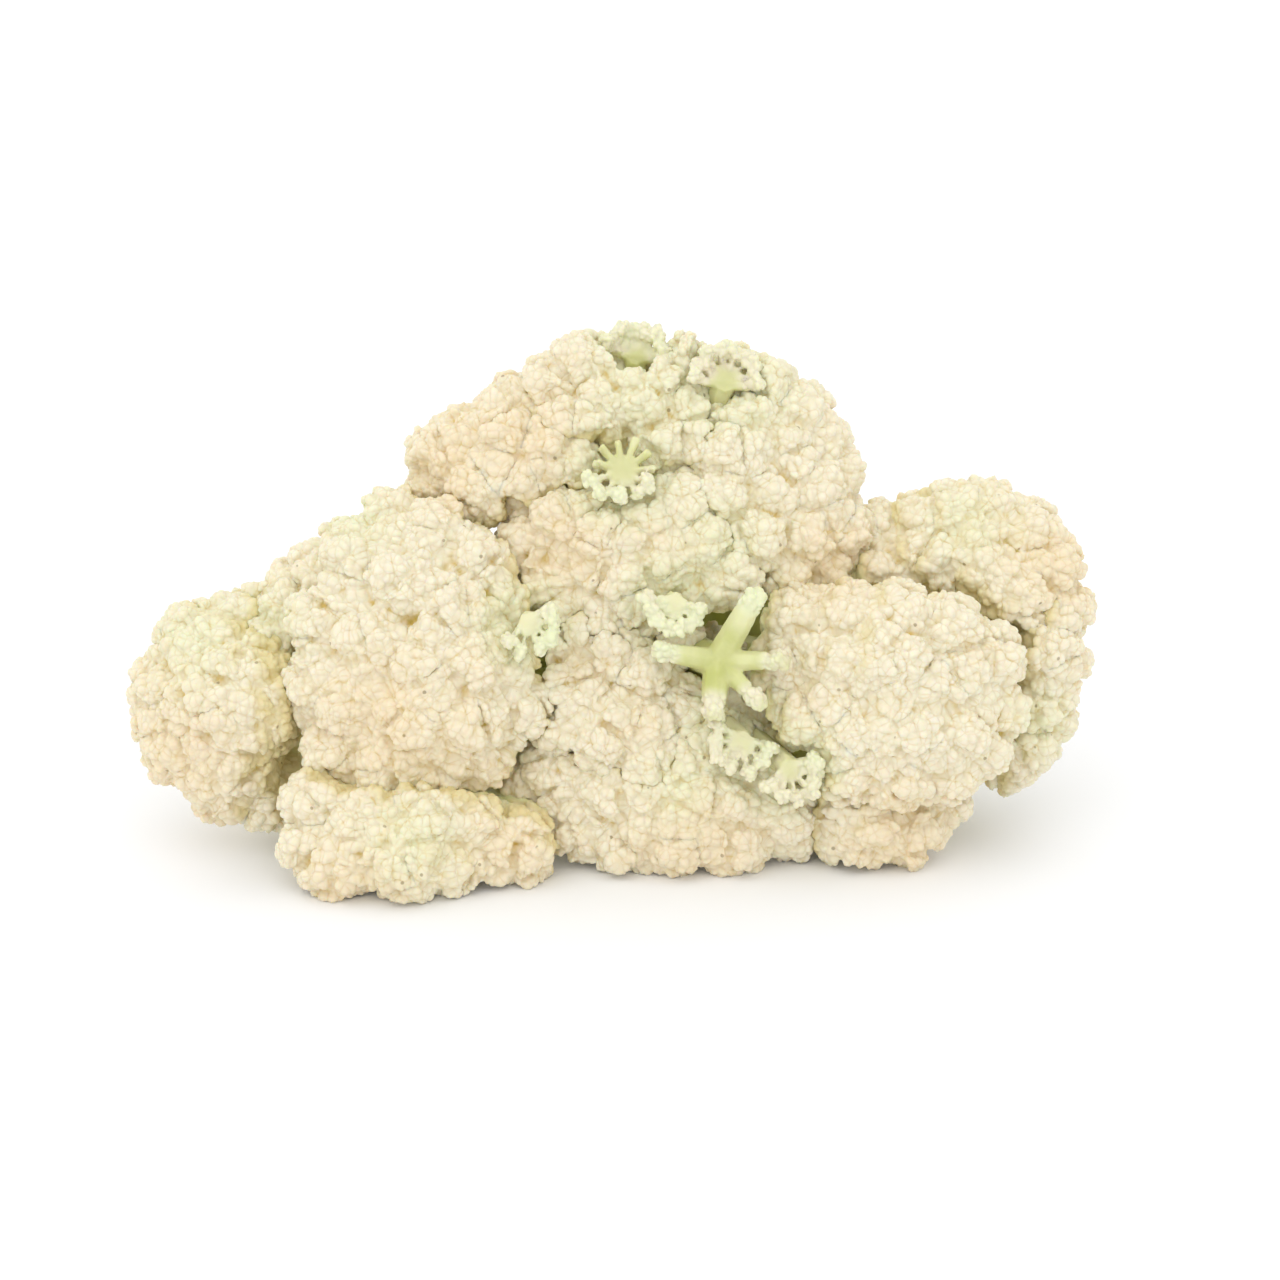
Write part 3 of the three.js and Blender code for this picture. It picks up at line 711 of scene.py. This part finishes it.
# Painted shade in the pits where clusters part.
PIT_SHADE = 0.85
SPECK_SCALE = 210.0
SPECK_SIZE = 0.075  # radius of a speck, over the width of its cell
SPECK_EDGE = 1.8  # where it has faded out, over its radius
SPECK_SHARE = 0.8  # share of the cells that have no speck
SPECK_SOFTNESS = 0.02
SPECK_TINT = 0.6
STREAK_SCALE = 160.0
STREAK_DETAIL = 4.0
STREAK_SHADE = (0.3, 0.7)
FINE_GRAIN_SCALE = 800.0
FINE_GRAIN_RELIEF = 0.35 * MM
FINE_GRAIN_STRENGTH = 0.7
CURD_ROUGHNESS = (0.2, 0.8, 0.55, 0.75)
CURD_SCATTER = (1.0, 0.65, 0.3)  # how far red, green and blue light goes, over the scale
CURD_SCATTER_SCALE = 1.8 * MM
CURD_SPECULAR = 0.3


def curd_tone(tree, look, place, mottle):
    """Cream in two tones, with peach and green patches."""
    cream = mixed(
        tree, ramp(tree, mottle, *MOTTLE_PALE), solid(look.curd_colour), solid(look.pale_colour)
    )
    warm = ramp(tree, noise(tree, place, TONE_SCALE), *TONE_PEACH)
    peach = calculate(tree, "ADD", attribute(tree, "peach"), warm, clamp=True)
    tone = mixed(tree, scaled_number(tree, peach, PEACH_TINT), cream, solid(look.peach_colour))
    fresh = ramp(tree, mottle, *MOTTLE_GREEN)
    green = calculate(tree, "MULTIPLY", attribute(tree, "green"), fresh)
    return mixed(tree, scaled_number(tree, green, GREEN_TINT), tone, solid(look.green_colour))


def with_painted_shade(tree, look, curd, mottle, tone):
    """The tone with painted shade in its hollows, in the creases between cobbles, on the walls of the
    gaps and in the pits.
    """
    broken = ramp(tree, mottle, *MOTTLE_LINES)
    hollow = ramp(tree, attribute(tree, "hollow"), *HOLLOW_SHADE_RANGE)
    deep = scaled_number(tree, hollow, HOLLOW_SHADE)
    levels = (
        (curd.cluster_width, CLUSTER_LINE, CLUSTER_LINE_SHADE),
        (curd.grain_width, GRAIN_LINE, GRAIN_LINE_SHADE),
    )
    for width, reach, tint in levels:
        line = calculate(tree, "MULTIPLY", lines(tree, width, reach), broken)
        deep = calculate(tree, "ADD", deep, scaled_number(tree, line, tint), clamp=True)
    tone = mixed(tree, deep, tone, solid(look.crease_shade_colour))
    wall = scaled_number(tree, attribute(tree, "wall"), WALL_SHADE)
    tone = mixed(tree, wall, tone, solid(look.wall_shade_colour))
    pit = scaled_number(tree, attribute(tree, "pit"), PIT_SHADE)
    return mixed(tree, pit, tone, solid(look.pit_shade_colour))


def specked(tree, look, place, tone):
    """The tone with a small dark speck in some of its cells."""
    cells = add(tree, "ShaderNodeTexVoronoi", {"Vector": place, "Scale": SPECK_SCALE})
    chance = add(tree, "ShaderNodeSeparateColor", {0: cells.outputs["Color"]}).outputs[0]
    chosen = ramp(tree, chance, SPECK_SHARE, SPECK_SHARE + SPECK_SOFTNESS)
    spot = ramp(tree, cells.outputs["Distance"], SPECK_SIZE, SPECK_SIZE * SPECK_EDGE, 1.0, 0.0)
    spot = calculate(tree, "MULTIPLY", spot, chosen)
    return mixed(tree, scaled_number(tree, spot, SPECK_TINT), tone, solid(look.speck_colour))


def curd_material(curd, look):
    """Cream curd with peach and green tones, specks and fine grain, and painted shade in its creases,
    on the walls of its gaps and in its pits.
    """
    material, tree, shader = new_material("Curd")
    place = add(tree, "ShaderNodeTexCoord").outputs["Object"]
    mottle = noise(tree, place, MOTTLE_SCALE)
    tone = curd_tone(tree, look, place, mottle)
    tone = with_painted_shade(tree, look, curd, mottle, tone)
    tone = specked(tree, look, place, tone)
    streaks = ramp(tree, noise(tree, place, STREAK_SCALE, STREAK_DETAIL), *STREAK_SHADE)
    under = mixed(tree, streaks, solid(look.flesh_colour), solid(look.flesh_shade))
    tone = mixed(tree, attribute(tree, "curd_side"), under, tone)
    cells = {"Vector": place, "Scale": FINE_GRAIN_SCALE}
    fine = add(tree, "ShaderNodeTexVoronoi", cells, feature="SMOOTH_F1").outputs["Distance"]
    bump = {"Height": fine, "Strength": FINE_GRAIN_STRENGTH, "Distance": FINE_GRAIN_RELIEF}
    values = {
        "Subsurface Weight": look.subsurface,
        "Subsurface Radius": CURD_SCATTER,
        "Subsurface Scale": CURD_SCATTER_SCALE,
        "Specular IOR Level": CURD_SPECULAR,
    }
    flesh(tree, shader, tone, ramp(tree, mottle, *CURD_ROUGHNESS), bump, values, invert=True)
    return material


STEM_STREAK_SCALE = 260.0
STEM_STREAK_DETAIL = 4.0
STEM_STREAK_SHADE = (0.3, 0.7)
STEM_TONE_SCALE = 60.0
STEM_TONE_FLESH = (0.35, 0.75, 0.0, 0.6)
TIP_TONE_GREEN = (0.3, 0.7)
STEM_ROUGHNESS = (0.2, 0.8, 0.36, 0.52)
STREAK_RELIEF = 0.3 * MM
STREAK_STRENGTH = 0.4
STEM_SCATTER = (0.8, 1.0, 0.3)
STEM_SCATTER_SCALE = 2.0 * MM


def stalk_material(look):
    """Pale green stem, streaked along its fibres, with paler fans, curd on the tips and a cut end."""
    material, tree, shader = new_material("Stalk")
    place = add(tree, "ShaderNodeTexCoord").outputs["Object"]
    along = add(tree, "ShaderNodeMapping", {"Vector": place, "Scale": FIBRE_STRETCH}).outputs[0]
    streaks = noise(tree, along, STEM_STREAK_SCALE, STEM_STREAK_DETAIL)
    broad = noise(tree, place, STEM_TONE_SCALE)
    layers = (
        (ramp(tree, broad, *STEM_TONE_FLESH), look.flesh_colour),
        (attribute(tree, "pale"), look.fan_colour),
    )
    shade = ramp(tree, streaks, *STEM_STREAK_SHADE)
    tone = mixed(tree, shade, solid(look.stem_colour), solid(look.stem_shade))
    for share, colour in layers:
        tone = mixed(tree, share, tone, solid(colour))
    mottle = ramp(tree, broad, *TIP_TONE_GREEN)
    tip = mixed(tree, mottle, solid(look.curd_colour), solid(look.green_colour))
    tone = mixed(tree, attribute(tree, "tip"), tone, tip)
    cut = mixed(tree, attribute(tree, "pith"), solid(look.cut_colour), solid(look.pith_colour))
    tone = mixed(tree, attribute(tree, "cut"), tone, cut)
    bump = {"Height": streaks, "Strength": STREAK_STRENGTH, "Distance": STREAK_RELIEF}
    values = {
        "Subsurface Weight": look.subsurface,
        "Subsurface Radius": STEM_SCATTER,
        "Subsurface Scale": STEM_SCATTER_SCALE,
    }
    flesh(tree, shader, tone, ramp(tree, broad, *STEM_ROUGHNESS), bump, values)
    return material


HAZE_SCALE = 4.0
HAZE_SHADE = 0.99
FLOOR_ROUGHNESS = 0.9
FLOOR_SPECULAR = 0.1


def floor_material(colour):
    """A matt pale surface with the faintest unevenness."""
    material, tree, shader = new_material("Pale floor")
    place = add(tree, "ShaderNodeTexCoord").outputs["Object"]
    haze = noise(tree, place, HAZE_SCALE)
    shade = tuple(HAZE_SHADE * value for value in colour)
    tree.links.new(mixed(tree, haze, solid(colour), solid(shade)), shader.inputs["Base Color"])
    shader.inputs["Roughness"].default_value = FLOOR_ROUGHNESS
    shader.inputs["Specular IOR Level"].default_value = FLOOR_SPECULAR
    return material


# Settings


def colour_setting(name, description, default):
    """A colour that the sidebar shows."""
    return FloatVectorProperty(
        name=name, description=description, subtype="COLOR", size=3, min=0, max=1, default=default
    )


def length_setting(name, description, default):
    """A length that the sidebar shows, in metres."""
    return FloatProperty(
        name=name,
        description=description,
        subtype="DISTANCE",
        unit="LENGTH",
        precision=5,
        min=0,
        default=default,
    )


class CurdSettings(bpy.types.PropertyGroup):
    """Sizes of the curd's knobs and grains."""

    cell: length_setting("Cell", "Size of the cells that the curd is made in", 0.4 * MM)
    smoothing: IntProperty(
        name="Smoothing", description="Passes that round the knobs", min=0, default=16
    )
    swell: length_setting("Swell", "How far the florets grow towards each other", 0.8 * MM)
    cluster_width: length_setting("Cluster width", "Width of a cluster of grains", 6.2 * MM)
    cluster_relief: length_setting("Cluster relief", "Height of a cluster over its creases", 1.35 * MM)
    grain_width: length_setting("Grain width", "Width of a grain", 2.5 * MM)
    grain_relief: length_setting("Grain relief", "Height of a grain over its creases", 0.72 * MM)
    swell_relief: length_setting("Swell relief", "Height of the uneven swells", 1.6 * MM)
    sharpening: FloatProperty(
        name="Sharpening", description="How much deeper the creases get", min=0, max=3, default=0.8
    )
    pit_depth: length_setting("Pit depth", "Depth of the pits where clusters part", 0.5 * MM)
    triangles: IntProperty(
        name="Triangles", description="Triangles on a square centimetre of floret", min=1, default=600
    )


class StalkSettings(bpy.types.PropertyGroup):
    """Sizes of the stalk's surface."""

    cell: length_setting("Cell", "Size of the cells that the stalk is made in", 0.4 * MM)
    smoothing: IntProperty(
        name="Smoothing", description="Passes that round the stems", min=0, default=6
    )
    grain_width: length_setting("Grain width", "Width of a grain on a fan's tips", 2.2 * MM)
    grain_relief: length_setting("Grain relief", "Height of a grain over its creases", 0.8 * MM)
    fibre_relief: length_setting("Fibre relief", "Height of the fibres", 0.25 * MM)
    triangles: IntProperty(
        name="Triangles", description="Triangles on a square centimetre of stalk", min=1, default=300
    )


class LookSettings(bpy.types.PropertyGroup):
    """Colours of the curd, the stalk and the stage."""

    curd_colour: colour_setting("Curd", "Cream of the curd", (0.815, 0.75, 0.565))
    pale_colour: colour_setting("Pale curd", "Palest curd", (0.86, 0.81, 0.645))
    peach_colour: colour_setting("Peach curd", "Warm curd of the lower florets", (0.825, 0.70, 0.49))
    green_colour: colour_setting("Green curd", "Fresh curd with a green tinge", (0.78, 0.80, 0.54))
    # Painted shade: the crease colour stands in for the shade deep between two knobs.
    crease_shade_colour: colour_setting("Crease", "Curd deep between two knobs", (0.66, 0.47, 0.12))
    # Painted shade: the wall colour stands in for the shade on the walls of the gaps between florets.
    wall_shade_colour: colour_setting("Wall", "Ochre walls of the gaps between florets", (0.72, 0.60, 0.24))
    # Painted shade: the pit colour stands in for the shade in the pits where clusters part.
    pit_shade_colour: colour_setting("Pit", "Olive depths where clusters part", (0.46, 0.38, 0.07))
    speck_colour: colour_setting("Speck", "Small dark specks", (0.22, 0.15, 0.05))
    flesh_colour: colour_setting("Flesh", "Undersides of the florets", (0.84, 0.83, 0.55))
    flesh_shade: colour_setting("Flesh shade", "Deeper parts of the undersides", (0.74, 0.75, 0.38))
    stem_colour: colour_setting("Stem", "Green of the stems", (0.60, 0.61, 0.235))
    stem_shade: colour_setting("Stem shade", "Deeper green along the fibres", (0.52, 0.54, 0.17))
    fan_colour: colour_setting("Fan", "Palest twigs of the fans", (0.80, 0.77, 0.50))
    cut_colour: colour_setting("Cut", "Cut face of the stump", (0.82, 0.80, 0.55))
    pith_colour: colour_setting("Pith", "Pith in the middle of the cut", (0.90, 0.88, 0.70))
    subsurface: FloatProperty(
        name="Subsurface", description="How far light shows in the flesh", min=0, max=1, default=0.35
    )
    floor_colour: colour_setting("Floor", "The pale floor", (0.94, 0.945, 0.96))


def settings_of(context):
    """The three groups of settings."""
    scene = context.scene
    return scene.cauliflower_curd, scene.cauliflower_stalk, scene.cauliflower_look


SQUARE_CM = 1e-4  # in square metres


def limit_triangles(piece, area, density):
    """Takes the piece's mesh down to so many triangles for each square centimetre."""
    graph = bpy.context.evaluated_depsgraph_get()
    faces = piece.evaluated_get(graph).data.polygons
    triangles = 2 * len(faces)
    thin = piece.modifiers.new("Thin flat areas", "DECIMATE")
    thin.ratio = min(1.0, density * area / SQUARE_CM / triangles)


def area_of(mesh):
    """Area of a mesh, in square metres."""
    areas = np.zeros(len(mesh.polygons), np.float32)
    mesh.polygons.foreach_get("area", areas)
    return float(areas.sum())


FAN_GREEN = (1.2, 2.0)  # curd round a fan is green this near to it, over the fan's spread


class CAULIFLOWER_OT_grow_curd(bpy.types.Operator):
    """Grows curd over every floret"""

    bl_idname = "cauliflower.grow_curd"
    bl_label = "Grow Curd"

    def execute(self, context):
        curd, _, look = settings_of(context)
        tree = curd_tree()
        material = curd_material(curd, look)
        values = {
            "Swell": curd.swell,
            "Cluster Width": curd.cluster_width,
            "Cluster Relief": curd.cluster_relief,
            "Grain Width": curd.grain_width,
            "Grain Relief": curd.grain_relief,
            "Swell Relief": curd.swell_relief,
            "Sharpening": curd.sharpening,
            "Pit Depth": curd.pit_depth,
            "Hub": crown_place(*HUB),
            "Material": material,
        }
        for number, node in enumerate(FLORETS):
            mesh = whole_mesh(node)
            area = area_of(mesh)
            root = root_of(points_of(mesh))
            piece = piece_with(mesh, node.replace("floret", "curd"), curd.cell, curd.smoothing)
            knobs_on = piece.modifiers.new("Curd", "NODES")
            knobs_on.node_group = tree
            for label, value in values.items():
                knobs_on[socket_id(tree, label)] = value
            knobs_on[socket_id(tree, "Seed")] = number
            knobs_on[socket_id(tree, "Root")] = root
            limit_triangles(piece, area, curd.triangles)
            mesh = settle_modifiers(piece)
            points = points_of(mesh)
            green = np.maximum(patches(GREEN_PATCHES, points), near_fans(points, *FAN_GREEN))
            keep_values(mesh, "green", green)
            keep_values(mesh, "peach", patches(PEACH_PATCHES, points))
            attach(piece, "root")
            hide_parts(node)
        return {"FINISHED"}


TIP_REACH = 5.4  # how far from a tuft's middle curd still shows, in mm
FAN_PALE = (1.1, 1.5)  # and stems are pale this near to it
CUT_DEPTH = 1.5  # how much of the stump's length the cut face's tone takes to come in, in mm
CUT_AHEAD = 1.2  # how far before the stump's end it starts, over that
PITH_SHARE = 0.55  # radius of the pith, over the stump's
PITH_EDGE = 8  # how sharply the pith ends
STALK_SEED = 1


def stump_end(points):
    """How much each point belongs to the stump's cut face, and how much to its pith."""
    axis_start = np.array(crown_place(*HUB))
    axis_end = np.array(crown_place(*STUMP_END))
    length = np.linalg.norm(axis_end - axis_start)
    direction = (axis_end - axis_start) / length
    along = (points - axis_start) @ direction
    aside = np.linalg.norm(points - axis_start - np.outer(along, direction), axis=1)
    cut = (along - length) / (CUT_DEPTH * MM) + CUT_AHEAD
    pith = 1 - (aside / (STUMP_RADIUS * MM) - PITH_SHARE) * PITH_EDGE
    return cut, pith


class CAULIFLOWER_OT_finish_stalk(bpy.types.Operator):
    """Finishes the stump, the branches and the bare stems"""

    bl_idname = "cauliflower.finish_stalk"
    bl_label = "Finish Stalk"

    def execute(self, context):
        _, stalk, look = settings_of(context)
        mesh = whole_mesh(STALK)
        area = area_of(mesh)
        tips = grow_twigs(mesh)
        piece = piece_with(mesh, "stem_work", stalk.cell, stalk.smoothing)
        mesh = settle_modifiers(piece)
        keep_values(mesh, "tip", near_tips(points_of(mesh), tips, TIP_REACH * MM))
        tree = stalk_tree()
        fibres = piece.modifiers.new("Stalk", "NODES")
        fibres.node_group = tree
        values = {
            "Grain Width": stalk.grain_width,
            "Grain Relief": stalk.grain_relief,
            "Fibre Relief": stalk.fibre_relief,
            "Seed": STALK_SEED,
            "Material": stalk_material(look),
        }
        for label, value in values.items():
            fibres[socket_id(tree, label)] = value
        limit_triangles(piece, area, stalk.triangles)
        mesh = settle_modifiers(piece)
        points = points_of(mesh)
        cut, pith = stump_end(points)
        keep_values(mesh, "cut", cut)
        keep_values(mesh, "pith", pith)
        keep_values(mesh, "pale", near_fans(points, *FAN_PALE, [fan[-1] for fan in FANS]))
        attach(piece, "root")
        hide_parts(STALK)
        return {"FINISHED"}


FLOOR_SIZE = 30.0
PHOTO_WIDTH = 1280
PIXEL = 0.26  # width of one of the photograph's pixels at the head, in mm
FRAME_WIDTH = PHOTO_WIDTH * PIXEL * MM
VIEW_CENTRE = (7.28, 59.28, 0)  # the middle of the picture, as across, up and out
VIEW_DISTANCE = 1.0
SENSOR = 36.0
SKY_STRENGTH = 1.06
SUN_STRENGTH = 0.48
SUN_ANGLE = math.radians(60)  # so wide that its shadows are soft
SUN_TURN = (math.radians(28), math.radians(-16), 0)


class CAULIFLOWER_OT_set_stage(bpy.types.Operator):
    """Lays the floor and sets the lights and the camera"""

    bl_idname = "cauliflower.set_stage"
    bl_label = "Set Stage"

    def execute(self, context):
        _, _, look = settings_of(context)
        scene = context.scene
        half = FLOOR_SIZE / 2
        corners = [(-half, -half, 0), (half, -half, 0), (half, half, 0), (-half, half, 0)]
        plane = bpy.data.meshes.new("floor")
        plane.from_pydata(corners, [], [(0, 1, 2, 3)])
        plane.materials.append(floor_material(look.floor_colour))
        floor = bpy.data.objects.new("floor", plane)
        scene.collection.objects.link(floor)

        world = bpy.data.worlds.new("Soft studio")
        world.use_nodes = True
        sky = world.node_tree.nodes["Background"]
        sky.inputs["Color"].default_value = solid((1.0, 1.0, 1.0))
        sky.inputs["Strength"].default_value = SKY_STRENGTH
        scene.world = world

        lamp = bpy.data.lights.new("overhead", "SUN")
        lamp.energy = SUN_STRENGTH
        lamp.angle = SUN_ANGLE
        overhead = bpy.data.objects.new("overhead", lamp)
        overhead.rotation_euler = SUN_TURN
        scene.collection.objects.link(overhead)

        lens = bpy.data.cameras.new("view")
        lens.sensor_width = SENSOR
        lens.lens = SENSOR * VIEW_DISTANCE / FRAME_WIDTH
        view = bpy.data.objects.new("view", lens)
        look_along = Vector((0, math.cos(LEAN), -math.sin(LEAN)))
        view.location = crown_place(*VIEW_CENTRE) - look_along * VIEW_DISTANCE
        view.rotation_mode = "QUATERNION"
        view.rotation_quaternion = look_along.to_track_quat("-Z", "Y")
        scene.collection.objects.link(view)
        scene.camera = view
        scene.view_settings.view_transform = "Standard"
        return {"FINISHED"}


class CAULIFLOWER_PT_sidebar(bpy.types.Panel):
    """Lists the settings and steps"""

    bl_idname = "CAULIFLOWER_PT_sidebar"
    bl_label = "Cauliflower"
    bl_space_type = "VIEW_3D"
    bl_region_type = "UI"
    bl_category = "Cauliflower"

    def draw(self, context):
        for group in settings_of(context):
            for name in group.__annotations__:
                self.layout.prop(group, name)
        for step in STEPS:
            self.layout.operator(step.bl_idname)


GROUPS = {
    "cauliflower_curd": CurdSettings,
    "cauliflower_stalk": StalkSettings,
    "cauliflower_look": LookSettings,
}
STEPS = (CAULIFLOWER_OT_grow_curd, CAULIFLOWER_OT_finish_stalk, CAULIFLOWER_OT_set_stage)


def register():
    """Adds the settings, the steps and the sidebar."""
    for name, group in GROUPS.items():
        bpy.utils.register_class(group)
        setattr(bpy.types.Scene, name, PointerProperty(type=group))
    for step in (*STEPS, CAULIFLOWER_PT_sidebar):
        bpy.utils.register_class(step)


def unregister():
    """Takes them away again."""
    for step in (CAULIFLOWER_PT_sidebar, *reversed(STEPS)):
        bpy.utils.unregister_class(step)
    for name, group in GROUPS.items():
        delattr(bpy.types.Scene, name)
        bpy.utils.unregister_class(group)


def main():
    """Makes the whole scene."""
    register()
    bpy.ops.cauliflower.grow_curd()
    bpy.ops.cauliflower.finish_stalk()
    bpy.ops.cauliflower.set_stage()


if __name__ == "__main__":
    main()
